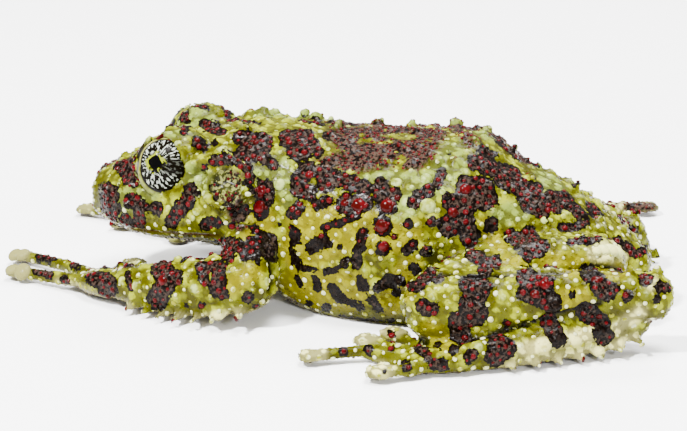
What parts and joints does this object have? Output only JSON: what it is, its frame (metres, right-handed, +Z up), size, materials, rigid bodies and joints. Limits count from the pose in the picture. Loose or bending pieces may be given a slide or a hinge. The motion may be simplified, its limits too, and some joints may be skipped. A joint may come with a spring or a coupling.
{
  "type": "mossy frog",
  "caption": "Still life-size model of a mossy frog resting on its belly, head raised, hands forward and hind legs folded, with warty skin, fringed limbs and round toe discs.",
  "frame": {"origin": "on the floor under the trunk, on the belly's resting flat", "axes": "+Z up, -Y towards the snout, +X towards the frog's left side"},
  "size_m": [0.0904, 0.0965, 0.0245],
  "materials": {
    "skin": "wet, warty, mottled moss green, yellow and dark brown",
    "eye": "wet and glossy, black with a pale netted iris"
  },
  "bodies": {
    "root": {"torso": "skin", "head": "skin", "lower_jaw": "skin", "eye_left": "eye", "eye_right": "eye", "upper_arm_left": "skin", "forearm_left": "skin", "hand_left": "skin", "upper_arm_right": "skin", "forearm_right": "skin", "hand_right": "skin", "thigh_left": "skin", "shank_left": "skin", "tarsus_left": "skin", "foot_left": "skin", "thigh_right": "skin", "shank_right": "skin", "tarsus_right": "skin", "foot_right": "skin"}
  },
  "joints": []
}
